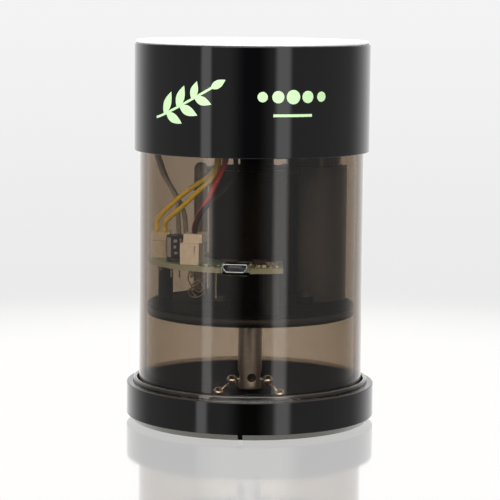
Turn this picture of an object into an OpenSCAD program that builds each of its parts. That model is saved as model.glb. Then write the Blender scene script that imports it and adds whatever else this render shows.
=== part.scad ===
// Cordless ball-and-chain herb and spice grinder in a smoky clear housing.
// Millimetres, +Z up, front towards -Y, origin at the centre of the underside.

/* [Grinding cup] */
// Outside diameter of the cup
cup_d = 76.4; // [74:0.1:80]
// Height of the cup's rim
cup_h = 11.6; // [10:0.1:12]
// Thickness of the cup's floor
cup_floor = 2.4; // [2:0.1:2.5]
// Chamfer round the cup's bottom edge
cup_chamfer = 1.9; // [0.5:0.1:2]

/* [Clear housing] */
// Outside diameter of the clear tube
tube_d = 68.8; // [68.4:0.1:69.4]
// Wall of the clear tube
tube_wall = 2.2; // [1.8:0.1:2.3]
// Height of the clear tube's top edge
tube_top = 105; // [104:0.5:106]
// Height of the bulkhead's underside, the roof of the grinding chamber
bulkhead_z = 32.8; // [30:0.1:33]
// Thickness of the bulkhead
bulkhead_t = 3.3; // [3:0.1:3.6]

/* [Cap] */
// Outside diameter of the cap band
cap_d = 72.2; // [72:0.1:74]
// Wall of the cap band
cap_wall = 1.2; // [1:0.1:1.3]
// Height of the cap band's lower edge
cap_z = 83.2; // [80:0.1:86]
// Height of the cap band's upper edge
cap_top = 115.8; // [115.4:0.1:117]
// Thickness of the white top disc above the band
disc_t = 1; // [0.8:0.1:2]

/* [Motor] */
// Diameter of the motor can
motor_d = 24.4; // [24:0.1:24.5]
// Height of the motor sleeve's top face
sleeve_top = 77.7; // [76.8:0.1:78]

/* [Battery] */
// Diameter of the wrapped cell
cell_d = 17.2; // [16.5:0.1:17.4]
// Length of the cell
cell_len = 63; // [60:0.5:63]

/* [Spindle and chain] */
// Diameter of the spindle
spindle_d = 7.5; // [7.2:0.1:7.5]
// Diameter of one chain ball
ball_d = 3.5; // [3.2:0.1:3.5]
// Distance from one ball's centre to the next
ball_pitch = 5.75; // [5.75:0.05:5.9]
// Height of the cross hole that holds the chain
chain_z = 12.8; // [12.8:0.1:13]

/* [Circuit board] */
// Height of the board's upper face
board_top = 50.5; // [49.5:0.1:50.5]
// Thickness of the board
board_t = 1.6; // [1.2:0.1:1.8]
// Angle of the charging socket, left of the front
usb_angle = -8; // [-12:1:-7]

/* [Hidden] */
$fn = 64;

// Running clearances and small gaps
body_gap = 0.3;
part_gap = 0.1;
bush_gap = 0.06;

// Radii and levels that several parts share
cup_r = cup_d / 2;
tube_r = tube_d / 2;
tube_in = tube_r - tube_wall;
tube_z = cup_floor + body_gap;
bulkhead_top = bulkhead_z + bulkhead_t;
cap_r = cap_d / 2;
cap_in = cap_r - cap_wall;
spindle_r = spindle_d / 2;
ball_r = ball_d / 2;
motor_r = motor_d / 2;

// Cup
cup_bore_r = tube_r + 0.4;
gasket_z = 9;
gasket_r = [cup_bore_r + 0.15, cup_r - 2.1];
gasket_top = cup_h + 1.5;
rim_round = 0.4;
foot_recess = [33, 0.8];
mould_mark_angle = -4.2;

// Motor and its sleeve
web_z = 40.8;
web_t = 2;
motor_z = web_z + web_t;
can_len = 28.5;
bell_z = motor_z + can_len;
sleeve_r = [motor_r + part_gap, motor_r + 0.9];
flange_r = 14.4;
flange_t = 1.5;
lug_ring = 17;
lug_angles = [117, 237, 350];
motor_screw_ring = 8;
shaft_r = 1.15;
shaft_z = chain_z + 14;

// Cell
cell_r = cell_d / 2;
cell_pos = [19.4, 10.3];
cradle_floor = 1;
cell_z = bulkhead_top + cradle_floor + part_gap;
cell_top = cell_z + cell_len;
cradle_top = 77.8;
tab_angle = 142;

// Board and what stands on it: centres in plan
board_r = tube_in - 0.4;
board_z = board_top - board_t;
board_post_at = [[6, -25.5], [-26.5, 6]];
motor_plug_at = [-17.6, -20.6];
motor_plug_turn = -12;
switch_plug_at = [-27.6, -4];
switch_plug_turn = 0;
capacitor_at = [-22.8, -14.8];
plug_size = [5.8, 7.5];
motor_plug_h = [6.4, 9.2];
switch_plug_h = [5.2, 7.8];
usb_front = tube_r - 0.4;
usb_depth = 5.6;
usb_z = board_top + 0.2;

// Deck, switch and cap: levels
deck_t = 2;
deck_top = tube_top + deck_t;
spigot_z = tube_top - 4;
spigot_r = [30.4, tube_in - part_gap];
hook_ring = 27;
spring_ring = 24;
spring_h = 4.4;
plate_z = deck_top + spring_h;
plate_t = 2.4;
travel = 2;
switch_x = 1.6;
switch_w = 10.3;
pedestal_top = 96;
switch_h = 7;
switch_top = pedestal_top + switch_h;
boss_z = 109.2;

// Chain: angle of each link below level, from the hub outwards, and the turn of its set screw
screw_turn = 9;
left_fall = [15, 42, 33, 0];
right_fall = [15, 48, 28, 0];

// Wire routes, round numbers chosen by hand
wire_r = 0.75;
yellow_a = [
  [-28.9, -3.7, 58.4], [-28.9, -3.7, 60.2], [-28.8, -4.2, 61.9], [-27, -5, 64.2], [-22.5, -7, 68.6],
  [-17.6, -9, 72.6], [-13.6, -10.6, 75.4], [-11, -11.2, 78.4], [-10.4, -10.6, 82], [-10.4, -8.6, 87],
  [-9.4, -3.6, 92.6], [-7, 1.2, 95], [-5.6, 2, 97.7]
];
yellow_b = [
  [-26.4, -3.7, 58.4], [-26.4, -3.8, 60], [-26.1, -5.2, 61.3], [-24.5, -7, 63.2], [-21, -9.5, 66.4],
  [-17, -12.4, 70.6], [-13.4, -13.8, 74], [-11, -14.2, 77], [-9.9, -13.6, 80.4], [-9.6, -12.6, 84.6],
  [-8.2, -10.4, 89], [-6.6, -6, 94], [-5.6, -2.2, 97.7]
];
red_route = [
  [-17, -19.6, 59.8], [-17, -19.6, 61.4], [-16.5, -19.5, 63], [-14.9, -19.2, 66.3],
  [-12.4, -18.4, 70.8], [-10, -17.2, 75.8], [-8, -15.4, 80.3], [-7.2, -12, 83.8], [-7.8, -8, 84.8],
  [-8.3, -5.2, 82.8], [-8.3, -4.6, 77.8]
];
black_route = [
  [-16.8, -22.2, 59.8], [-16.8, -22.2, 61.3], [-16.4, -22, 62.8], [-15, -21.6, 65.8],
  [-12.2, -20.6, 68.8], [-8.4, -18.8, 72.2], [-5.6, -16.9, 75.8], [-4.8, -15.4, 79.3], [-5, -12.2, 82.4],
  [-5.5, -7, 83.4], [-5.6, -1, 83.2], [-6.6, 3.2, 82.2], [-8.3, 4.6, 80.2], [-8.3, 4.6, 77.8]
];
grey_a = [
  [-22.2, 1.5, 50.6], [-22.2, 2, 54.8], [-22.7, 3, 62.8], [-23.2, 4, 67.8], [-26, 4.6, 72.8],
  [-28, 5, 76.8], [-29.4, 6, 82.8], [-27, 12, 91], [-16, 19, 98], [0, 19, 102], [9, 15.4, 103.2],
  [14.4, 11.6, 102.7]
];
grey_b = [
  [-19.9, 1.5, 50.6], [-20, 2, 54.8], [-20.8, 4.4, 62.8], [-23.1, 6.4, 67.8], [-26, 7.3, 72.8],
  [-28, 8, 77.8], [-29.2, 9.2, 83.8], [-24, 17, 91], [-13, 23.4, 97], [0, 23.4, 100.4],
  [7, 20.8, 101.4], [10.8, 17.6, 100.8], [11.7, 16.3, 98.6]
];

// Point on a smooth curve through four neighbours, t from 0 to 1 between b and c
function spline_point(a, b, c, d, t) =
  0.5 * (2 * b + (c - a) * t + (2 * a - 5 * b + 4 * c - d) * t * t + (3 * b - a - 3 * c + d) * t * t * t);

// The route with extra points between each pair, rounded by the spline
function smooth_route(p, steps) = [
  for (i = [0:len(p) - 2], k = [0:steps - 1])
    spline_point(p[max(i - 1, 0)], p[i], p[i + 1], p[min(i + 2, len(p) - 1)], k / steps),
  p[len(p) - 1]
];

function unit(v) = v / norm(v);

// Direction of travel at each point of a route
function route_dir(p, i) = unit(p[min(i + 1, len(p) - 1)] - p[max(i - 1, 0)]);

// One ring of a swept tube, square to the direction of travel, with side never along the route
function ring_at(p, i, r, sides, side) =
  let (
    ahead = route_dir(p, i),
    across = unit(cross(ahead, side)),
    up = cross(ahead, across)
  )
  [for (k = [0:sides - 1]) p[i] + r * (cos(360 * k / sides) * across + sin(360 * k / sides) * up)];

// Round tube swept along the points of a route
module swept_tube(p, r, side, sides = 8) {
  n = len(p);
  points = [for (i = [0:n - 1]) each ring_at(p, i, r, sides, side)];
  walls = [
    for (i = [0:n - 2], k = [0:sides - 1])
      let (here = i * sides, next = here + sides, k2 = (k + 1) % sides)
      each [[here + k, here + k2, next + k2], [here + k, next + k2, next + k]]
  ];
  ends = [[for (k = [sides - 1:-1:0]) k], [for (k = [0:sides - 1]) (n - 1) * sides + k]];
  polyhedron(points, concat(walls, ends), convexity = 8);
}

// Insulated lead along a hand-set route
module lead(route, side = [0, 1, 0]) {
  swept_tube(smooth_route(route, 2), wire_r, side);
}

// Ring with a square section
module ring(r_in, r_out, z, h) {
  translate([0, 0, z]) difference() {
    cylinder(r = r_out, h = h);
    translate([0, 0, -1]) cylinder(r = r_in, h = h + 2);
  }
}

// Copies its children round the axis at each angle
module at_angles(angles, r) {
  for (a = angles) rotate([0, 0, a]) translate([r, 0, 0]) children();
}

// Pan-head machine screw, head up, with its seat at the origin and a cross recess
module pan_screw(d, l, head_d, head_h) {
  difference() {
    union() {
      translate([0, 0, -l]) cylinder(d = d, h = l);
      cylinder(d = head_d, h = head_h);
    }
    for (a = [0, 90]) rotate([0, 0, a])
      translate([-head_d * 0.32, -0.25, head_h * 0.45]) cube([head_d * 0.64, 0.5, head_h]);
  }
}

// ---- Grinding cup ----

module base_cup() {
  color([0.05, 0.05, 0.05]) difference() {
    rotate_extrude() {
      polygon([
        [0, 0], [cup_r - cup_chamfer, 0], [cup_r, cup_chamfer], [cup_r, cup_h - rim_round],
        [cup_r - rim_round, cup_h - rim_round], [cup_r - rim_round, cup_h], [gasket_r[1] + part_gap, cup_h],
        [gasket_r[1] + part_gap, gasket_z], [cup_bore_r, gasket_z], [cup_bore_r, cup_floor], [0, cup_floor]
      ]);
      translate([cup_r - rim_round, cup_h - rim_round]) intersection() {
        circle(r = rim_round);
        square(rim_round);
      }
    }
    translate([0, 0, -1]) cylinder(r = foot_recess[0], h = 1 + foot_recess[1]);
    rotate([0, 0, mould_mark_angle]) translate([-0.7, -cup_r - 1, -1]) cube([1.4, 3.2, 3.2]);
  }
}

module base_gasket() {
  bead = (gasket_r[1] - gasket_r[0]) / 2;
  color([0.03, 0.03, 0.03]) rotate_extrude() {
    translate([gasket_r[0], gasket_z]) square([2 * bead, gasket_top - bead - gasket_z]);
    translate([gasket_r[0] + bead, gasket_top - bead]) circle(r = bead);
  }
}

// ---- Clear housing and frame ----

module usb_place() {
  rotate([0, 0, usb_angle]) translate([0, -usb_front, usb_z]) children();
}

// Outline of the slot in the tube that shows the charging socket
module usb_slot() {
  corner = 0.8;
  w = 8.6 - 2 * corner;
  h = 4.2 - 2 * corner;
  square([w + 2 * corner, h], center = true);
  square([w, h + 2 * corner], center = true);
  for (x = [-w / 2, w / 2], y = [-h / 2, h / 2]) translate([x, y]) circle(r = corner);
}

module housing_tube() {
  color([0.35, 0.3, 0.26, 0.5]) difference() {
    ring(tube_in, tube_r, tube_z, tube_top - tube_z);
    usb_place() translate([0, 4, 0]) rotate([90, 0, 0]) linear_extrude(8) usb_slot();
    at_angles([30, 150, 270], 0) translate([tube_in - 3, 0, spigot_z + 2]) rotate([0, 90, 0])
      cylinder(d = 4.4, h = 10);
  }
}

module bulkhead() {
  color([0.05, 0.05, 0.05]) difference() {
    translate([0, 0, bulkhead_z]) cylinder(r = tube_in - body_gap, h = bulkhead_t);
    translate([0, 0, bulkhead_z - 1]) cylinder(r = 8, h = 2.2);
    translate([0, 0, bulkhead_z]) cylinder(r = 6, h = bulkhead_t + 1);
    ring(tube_in - 1.9, tube_in + 1, bulkhead_z + bulkhead_t / 2 - 0.95, 1.9);
    at_angles(lug_angles, lug_ring) translate([0, 0, bulkhead_top - 2]) cylinder(d = 2.2, h = 3);
  }
}

module bulkhead_seal() {
  color([0.02, 0.02, 0.02]) translate([0, 0, bulkhead_z + bulkhead_t / 2])
    rotate_extrude() translate([tube_in - 0.95, 0]) circle(r = 0.9);
}

module shaft_seal() {
  color([0.02, 0.02, 0.02]) ring(spindle_r + body_gap, 7.9, bulkhead_z, 1.1);
}

module shaft_bush() {
  color([0.72, 0.52, 0.28]) {
    ring(spindle_r + bush_gap, 6, bulkhead_z + 1.2, bulkhead_t - 1.2);
    ring(spindle_r + bush_gap, 7.4, bulkhead_top, 1.2);
  }
}

// ---- Motor ----

module motor_sleeve() {
  color([0.04, 0.04, 0.04]) difference() {
    union() {
      ring(sleeve_r[0], sleeve_r[1], bulkhead_top, sleeve_top - bulkhead_top);
      ring(3.6, sleeve_r[1], web_z, web_t);
      ring(sleeve_r[0], flange_r, sleeve_top - flange_t, flange_t);
      at_angles(lug_angles, lug_ring) translate([0, 0, bulkhead_top]) {
        cylinder(r = 2.8, h = 2.4);
        translate([-4.2, -1.9, 0]) cube([4.2, 3.8, 2.4]);
      }
    }
    at_angles([0, 180], motor_screw_ring) translate([0, 0, web_z - 1]) cylinder(d = 2.7, h = web_t + 2);
    at_angles(lug_angles, lug_ring) translate([0, 0, bulkhead_top - 1]) cylinder(d = 2.7, h = 5);
    translate([cell_pos.x, cell_pos.y, sleeve_top - flange_t - 1])
      cylinder(r = cell_r + 0.2, h = flange_t + 2);
  }
}

module sleeve_screws() {
  color([0.75, 0.75, 0.76]) at_angles(lug_angles, lug_ring) translate([0, 0, bulkhead_top + 2.4])
    pan_screw(2.1, 4.2, 4.4, 1.7);
}

module motor_can() {
  color([0.3, 0.3, 0.32]) difference() {
    union() {
      translate([0, 0, motor_z]) cylinder(r = motor_r, h = can_len);
      translate([0, 0, motor_z - 1.7]) cylinder(r = 3.1, h = 2);
    }
    translate([0, 0, motor_z + 1.2]) cylinder(r = motor_r - 0.8, h = can_len);
    translate([0, 0, motor_z - 2]) cylinder(r = shaft_r + bush_gap, h = 4);
    at_angles([0, 180], motor_screw_ring) translate([0, 0, motor_z - 1]) cylinder(d = 2.7, h = 4);
  }
}

module motor_magnets() {
  color([0.15, 0.14, 0.14]) difference() {
    ring(8.9, motor_r - 0.9, motor_z + 2.5, 22);
    for (s = [-1, 1]) translate([-20, s * 11 - 5, motor_z]) cube([40, 10, 30]);
  }
}

module motor_armature() {
  stack_h = 17;
  color([0.5, 0.5, 0.52]) translate([0, 0, motor_z + 5]) difference() {
    union() {
      cylinder(r = 3, h = stack_h);
      intersection() {
        cylinder(r = 8.3, h = stack_h);
        for (a = [0, 120, 240]) rotate([0, 0, a]) {
          translate([1.5, -1.3, 0]) cube([7.5, 2.6, stack_h]);
          translate([6.7, -5.4, 0]) cube([3, 10.8, stack_h]);
        }
      }
    }
    translate([0, 0, -1]) cylinder(r = shaft_r, h = stack_h + 2);
  }
}

// Three coils, and the commutator above them
module motor_windings() {
  color([0.7, 0.35, 0.15]) for (a = [0, 120, 240]) rotate([0, 0, a]) translate([0, 0, motor_z + 4])
    difference() {
      translate([3.2, -2.9, 0]) cube([3.4, 5.8, 19]);
      translate([3, -1.4, 1]) cube([4, 2.8, 17.0]);
    }
  color([0.75, 0.45, 0.2]) ring(shaft_r, 2.6, motor_z + 23.5, 4.6);
}

module motor_shaft() {
  color([0.78, 0.78, 0.8]) translate([0, 0, shaft_z]) cylinder(r = shaft_r, h = bell_z + 3.6 - shaft_z);
}

module motor_end_bell() {
  color([0.08, 0.08, 0.08]) difference() {
    union() {
      translate([0, 0, bell_z]) cylinder(r = motor_r, h = 2);
      translate([0, 0, bell_z + 2]) cylinder(r = 5, h = 2.2);
    }
    translate([0, 0, bell_z - 1]) cylinder(r = shaft_r + bush_gap, h = 4.8);
  }
}

module motor_terminals() {
  color([0.8, 0.65, 0.3]) for (s = [-1, 1])
    translate([-8.6, s * 4.6 - 1.2, bell_z + 2]) cube([0.5, 2.4, 4.4]);
}

module motor_screws() {
  color([0.75, 0.75, 0.76]) at_angles([0, 180], motor_screw_ring) translate([0, 0, web_z])
    mirror([0, 0, 1]) pan_screw(2.5, 3.0, 4.4, 1.6);
}

// ---- Cell ----

module battery_cradle() {
  color([0.05, 0.05, 0.05]) difference() {
    intersection() {
      translate([cell_pos.x, cell_pos.y, bulkhead_top])
        cylinder(r = cell_r + 1.8, h = cradle_top - bulkhead_top);
      translate([0, 0, bulkhead_top]) cylinder(r = tube_in - body_gap, h = cradle_top);
    }
    translate([cell_pos.x, cell_pos.y, bulkhead_top + cradle_floor]) cylinder(r = cell_r + 0.35, h = 50);
    translate([0, 0, bulkhead_top - 1]) cylinder(r = flange_r + 0.2, h = 50);
    rotate([0, 0, lug_angles[2]]) translate([lug_ring, 0, bulkhead_top - 1]) cylinder(r = 3.2, h = 5);
    translate([cell_pos.x, cell_pos.y, bulkhead_top + cradle_floor]) rotate([0, 0, tab_angle])
      translate([cell_r - 0.6, -2.8, 0]) cube([1.4, 5.6, 50]);
  }
}

module battery_cell() {
  color([0.2, 0.2, 0.2]) translate([cell_pos.x, cell_pos.y, cell_z]) rotate_extrude() difference() {
    union() {
      square([cell_r, cell_len - 0.6]);
      square([cell_r - 0.6, cell_len]);
      translate([cell_r - 0.6, cell_len - 0.6]) circle(r = 0.6);
    }
    translate([cell_r + 0.2, cell_len - 3.4]) circle(r = 0.8);
  }
}

// The cell's raised end contact and the strips welded to both ends
module battery_tabs() {
  color([0.82, 0.8, 0.74]) {
    translate([cell_pos.x, cell_pos.y, cell_top]) cylinder(r = 3.4, h = 1.2);
    translate([cell_pos.x - 6.5, cell_pos.y - 2.5, cell_top + 1.2]) cube([8, 5, 0.25]);
    translate([cell_pos.x, cell_pos.y, cell_z]) rotate([0, 0, tab_angle]) {
      translate([cell_r + 0.03, -2.5, 0]) cube([0.25, 5, cell_len - 1]);
      translate([3, -2.5, -part_gap]) cube([cell_r - 2.72, 5, 0.1]);
    }
  }
}

// ---- Posts and circuit board ----

module wire_post() {
  color([0.6, 0.58, 0.55, 0.5]) translate([-16, 20, bulkhead_top]) {
    cylinder(r = 2.2, h = sleeve_top - bulkhead_top - 2.2);
    translate([0, 0, sleeve_top - bulkhead_top - 2.2]) sphere(r = 2.2);
  }
}

module board_posts() {
  color([0.05, 0.05, 0.05]) for (p = board_post_at) translate([p.x, p.y, 0]) difference() {
    translate([0, 0, bulkhead_top]) cylinder(r = 2.3, h = board_z - bulkhead_top);
    translate([0, 0, board_z - 5]) cylinder(r = 1.05, h = 6);
  }
}

module board_screws() {
  color([0.75, 0.75, 0.76]) for (p = board_post_at)
    translate([p.x, p.y, board_top]) pan_screw(2, 5, 3.8, 1.4);
}

module circuit_board() {
  color([0.2, 0.45, 0.25]) difference() {
    translate([0, 0, board_z]) linear_extrude(board_t) difference() {
      intersection() {
        circle(r = board_r);
        polygon([[-33, 11], [-33, -33], [9.6, -33], [9.6, -12], [-9, 2], [-15, 11]]);
      }
      circle(r = flange_r + 0.4);
      rotate(usb_angle) translate([-4.2, -40]) square([8.4, 40 - usb_front + usb_depth + 0.2]);
    }
    for (p = board_post_at) translate([p.x, p.y, board_z - 1]) cylinder(r = 1.15, h = 4);
  }
}

// Outline of the socket's shell: wide above, with slanted lower corners
module usb_outline(grow = 0) {
  offset(delta = grow) polygon([[-3.4, 1], [3.4, 1], [3.4, 0.1], [2.5, -1], [-2.5, -1], [-3.4, 0.1]]);
}

module usb_shell() {
  color([0.8, 0.8, 0.82]) usb_place() rotate([90, 0, 0]) mirror([0, 0, 1]) difference() {
    linear_extrude(usb_depth) usb_outline(0.25);
    translate([0, 0, -1]) linear_extrude(usb_depth) usb_outline();
  }
}

module usb_tongue() {
  color([0.08, 0.08, 0.08]) usb_place() translate([-2, 0.6, 0.1]) cube([4, usb_depth - 1.7, 0.6]);
}

// Places children on the board's upper face
module on_board(at, turn = 0, up = 0) {
  translate([at.x, at.y, board_top + up]) rotate([0, 0, turn]) children();
}

// Open-topped pin header
module header(h) {
  w = plug_size[0];
  d = plug_size[1];
  difference() {
    translate([-w / 2, -d / 2, 0]) cube([w, d, h[0]]);
    translate([-w / 2 + 0.7, -d / 2 + 0.7, 1]) cube([w - 1.4, d - 1.4, h[0]]);
  }
}

// Crimp plug that sits in the header, with a wider collar above it
module plug(h, shift = 0) {
  w = plug_size[0];
  d = plug_size[1];
  translate([-w / 2 + 0.75, -d / 2 + 0.75, 1.1]) cube([w - 1.5, d - 1.5, h[0]]);
  translate([shift - w / 2, shift / 2 - d / 2, h[0] + 0.1]) cube([w, d, h[1] - h[0] - 0.1]);
}

module motor_header() {
  color([0.9, 0.88, 0.82]) on_board(motor_plug_at, motor_plug_turn) header(motor_plug_h);
}
module motor_plug() {
  color([0.92, 0.9, 0.84]) on_board(motor_plug_at, motor_plug_turn) plug(motor_plug_h, 0.9);
}
module switch_header() {
  color([0.85, 0.82, 0.72]) on_board(switch_plug_at, switch_plug_turn) header(switch_plug_h);
}
module switch_plug() {
  color([0.88, 0.85, 0.74]) on_board(switch_plug_at, switch_plug_turn) plug(switch_plug_h);
}

module capacitor() {
  color([0.12, 0.14, 0.2]) on_board(capacitor_at) rotate_extrude() difference() {
    union() {
      square([2.8, 7.6]);
      square([2.4, 8]);
      translate([2.4, 7.6]) circle(r = 0.4);
    }
    translate([3.1, 1]) circle(r = 0.5);
  }
}

module board_chips() {
  color([0.1, 0.1, 0.1]) {
    on_board([2.6, -21.5], 10) translate([-2, -2, 0]) cube([4, 4, 1.4]);
    on_board([-6.5, -19.2], -8) translate([-2.5, -1.2, 0]) cube([5, 2.4, 1.2]);
    on_board([-20.5, 7.4], 20) translate([-1.5, -2.2, 0]) cube([3, 4.4, 1.6]);
  }
  color([0.85, 0.8, 0.7]) for (p = [[2.2, -28.6], [6.9, -20.8], [-0.4, -25.4], [7.6, -29.4], [-13.4, -26.6]])
    on_board(p, 25) translate([-0.8, -0.5, 0]) cube([1.6, 1, 0.7]);
}

module charge_led() {
  color([0.95, 0.95, 0.9]) on_board([3.9, -30], 8) translate([-0.9, -0.55, 0]) cube([1.8, 1.1, 0.9]);
}

module solder_pins() {
  color([0.8, 0.78, 0.7]) {
    for (p = [[motor_plug_at, motor_plug_turn], [switch_plug_at, switch_plug_turn]], s = [-1.25, 1.25])
      translate([p[0].x, p[0].y, board_z - 2.6]) rotate([0, 0, p[1]])
        translate([0, s, 0]) cylinder(r = 0.35, h = 2.6);
    for (s = [-1.2, 1.2])
      translate([capacitor_at.x + s, capacitor_at.y, board_z - 3.4]) cylinder(r = 0.3, h = 3.4);
    for (p = [[-12.4, -22.6, 5], [-10.4, -21.4, 9], [-13.8, -19, 7]])
      translate([p.x, p.y, board_z - p.z]) cylinder(r = 0.35, h = p.z);
  }
}

// ---- Switch, deck and cap ----

module switch_pedestal() {
  color([0.04, 0.04, 0.04]) difference() {
    union() {
      translate([switch_x - switch_w / 2, -5, sleeve_top]) cube([switch_w, 10, pedestal_top - sleeve_top]);
      translate([switch_x - switch_w / 2, -13.6, sleeve_top]) cube([switch_w, 27.2, 2]);
    }
    translate([switch_x - 3.4, -6, sleeve_top + 7.5]) cube([6.8, 12, pedestal_top - sleeve_top - 10.5]);
  }
}

module switch_body() {
  color([0.1, 0.1, 0.12]) difference() {
    translate([switch_x - switch_w / 2, -5, pedestal_top]) cube([switch_w, 10, switch_h]);
    translate([switch_x, 0, switch_top - 4.5]) cylinder(r = 2 + bush_gap, h = 5);
  }
}

module switch_terminals() {
  color([0.8, 0.65, 0.3]) for (s = [-1, 1])
    translate([switch_x - switch_w / 2 - 3.4, s * 2 - 0.9, pedestal_top + 2.4]) cube([3.4, 1.8, 0.4]);
}

module switch_plunger() {
  color([0.7, 0.1, 0.1]) translate([switch_x, 0, switch_top - travel])
    cylinder(r = 2, h = boss_z - part_gap - switch_top + travel);
}

module spring_deck() {
  color([0.05, 0.05, 0.05]) difference() {
    union() {
      translate([0, 0, tube_top]) cylinder(r = tube_r - part_gap, h = deck_t);
      ring(spigot_r[0], spigot_r[1], spigot_z, tube_top - spigot_z);
      at_angles([30, 150, 270], spring_ring) translate([0, 0, deck_top]) cylinder(r = 1.6, h = 1.4);
      at_angles([30, 150, 270], 0) translate([27.4, -2.4, spigot_z]) cube([4, 4.8, 4]);
    }
    translate([switch_x, 0, tube_top - 1]) cylinder(r = 6, h = deck_t + 2);
    at_angles([90, 210, 330], hook_ring) translate([-1.6, -3.6, tube_top - 1]) cube([3.6, 7.2, deck_t + 2]);
    at_angles([30, 150, 270], 0) translate([26, 0, spigot_z + 2]) rotate([0, 90, 0])
      cylinder(d = 2.2, h = 10);
  }
}

module deck_screws() {
  color([0.75, 0.75, 0.76]) at_angles([30, 150, 270], 0) translate([tube_in, 0, spigot_z + 2])
    rotate([0, 90, 0]) pan_screw(2, 4, 4, 1.6);
}

// Compression spring on its peg, ground flat by the closed end turns
module return_springs() {
  turns = 3;
  per_turn = 12;
  coil_r = 2.6;
  spring_wire = 0.3;
  coil = [
    for (i = [0:turns * per_turn])
      let (a = 360 * i / per_turn, f = i / (turns * per_turn))
      [coil_r * cos(a), coil_r * sin(a), spring_wire + 0.05 + f * (spring_h - 2 * spring_wire - 0.1)]
  ];
  color([0.8, 0.8, 0.8]) at_angles([30, 150, 270], spring_ring) translate([0, 0, deck_top])
    swept_tube(coil, spring_wire, [0, 0, 1], 6);
}

module cap_plate() {
  color([0.05, 0.05, 0.05]) {
    translate([0, 0, plate_z]) cylinder(r = cap_in, h = plate_t);
    translate([switch_x, 0, boss_z]) cylinder(r = 3.2, h = plate_z - boss_z + 1);
    at_angles([90, 210, 330], hook_ring) {
      translate([-0.9, -2.6, tube_top - 2]) cube([1.8, 5.2, plate_z - tube_top + 3]);
      translate([-0.9, -2.6, tube_top - 2]) cube([2.7, 5.2, 2 - body_gap]);
    }
  }
}

module cap_band() {
  color([0.03, 0.03, 0.03]) rotate_extrude() {
    difference() {
      translate([cap_in, cap_z]) square([cap_wall, cap_top - cap_z]);
      translate([cap_r - 0.4, cap_top - 0.4]) square(1);
    }
    translate([cap_r - 0.4, cap_top - 0.4]) circle(r = 0.4);
  }
}

module cap_disc() {
  dome_r = cap_r - 0.5;
  color([0.95, 0.95, 0.95]) {
    translate([0, 0, plate_z + plate_t]) cylinder(r = cap_in - part_gap, h = cap_top - plate_z - plate_t);
    rotate_extrude() {
      translate([0, cap_top]) square([dome_r - disc_t / 2, disc_t]);
      translate([dome_r - disc_t / 2, cap_top + disc_t / 2]) circle(r = disc_t / 2);
    }
  }
}

// ---- Leads ----

module yellow_wires() { color([0.85, 0.65, 0.1]) { lead(yellow_a); lead(yellow_b); } }
module red_wire() { color([0.75, 0.08, 0.1]) lead(red_route, [1, 0, 0]); }
module black_wire() { color([0.05, 0.05, 0.05]) lead(black_route, [1, 0, 0]); }
module grey_wires() { color([0.3, 0.3, 0.3]) { lead(grey_a); lead(grey_b); } }

// ---- Spindle and chain ----

module spindle() {
  color([0.5, 0.5, 0.5]) difference() {
    translate([0, 0, chain_z - 3.7]) cylinder(r = spindle_r, h = bulkhead_top + 3.2 - chain_z + 3.7);
    translate([-spindle_r - 1, 0, chain_z]) rotate([0, 90, 0]) cylinder(r = ball_r + 0.25, h = spindle_d + 2);
    rotate([0, 0, screw_turn]) translate([0, 0, chain_z]) rotate([90, 0, 0])
      cylinder(r = 1.4, h = spindle_r + 1);
    translate([0, 0, shaft_z]) cylinder(r = shaft_r, h = 30);
    translate([0, 0, bulkhead_top + 2.1]) rotate([90, 0, 0]) cylinder(r = 0.8, h = spindle_r + 1);
  }
}

module shaft_screw() {
  color([0.3, 0.3, 0.32]) translate([0, -shaft_r, bulkhead_top + 2.1]) rotate([90, 0, 0]) difference() {
    cylinder(r = 0.8, h = 2.4);
    translate([0, 0, 1.6]) cylinder(d = 0.9, h = 2, $fn = 6);
  }
}

module chain_screw() {
  color([0.3, 0.3, 0.32]) rotate([0, 0, screw_turn]) translate([0, -ball_r - 0.02, chain_z])
    rotate([90, 0, 0]) difference() {
      cylinder(r = 1.4, h = 1.2);
      translate([0, 0, 0.4]) cylinder(d = 1.5, h = 2, $fn = 6);
    }
}

module chain_core() {
  color([0.8, 0.8, 0.8]) translate([0, 0, chain_z]) sphere(r = ball_r);
}

// Centre of the ball that a link hangs from, n links out along an arm, in the plane of the arm
function arm_point(fall, n) =
  n == 0 ? [0, chain_z] : arm_point(fall, n - 1) + ball_pitch * [cos(fall[n - 1]), -sin(fall[n - 1])];

// One moving piece of an arm: a wire and the ball on its end
module arm_piece(side, fall, n) {
  start = arm_point(fall, n);
  color([0.8, 0.8, 0.8]) translate([side * start.x, 0, start.y]) rotate([0, side * (90 + fall[n]), 0]) {
    translate([0, 0, ball_r + 0.15]) cylinder(r = 0.4, h = ball_pitch - 2 * ball_r + 0.15);
    translate([0, 0, ball_pitch]) sphere(r = ball_r);
  }
}

module left_link_1() { arm_piece(-1, left_fall, 0); }
module left_link_2() { arm_piece(-1, left_fall, 1); }
module left_link_3() { arm_piece(-1, left_fall, 2); }
module left_tail() { arm_piece(-1, left_fall, 3); }
module right_link_1() { arm_piece(1, right_fall, 0); }
module right_link_2() { arm_piece(1, right_fall, 1); }
module right_link_3() { arm_piece(1, right_fall, 2); }
module right_tail() { arm_piece(1, right_fall, 3); }

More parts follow.
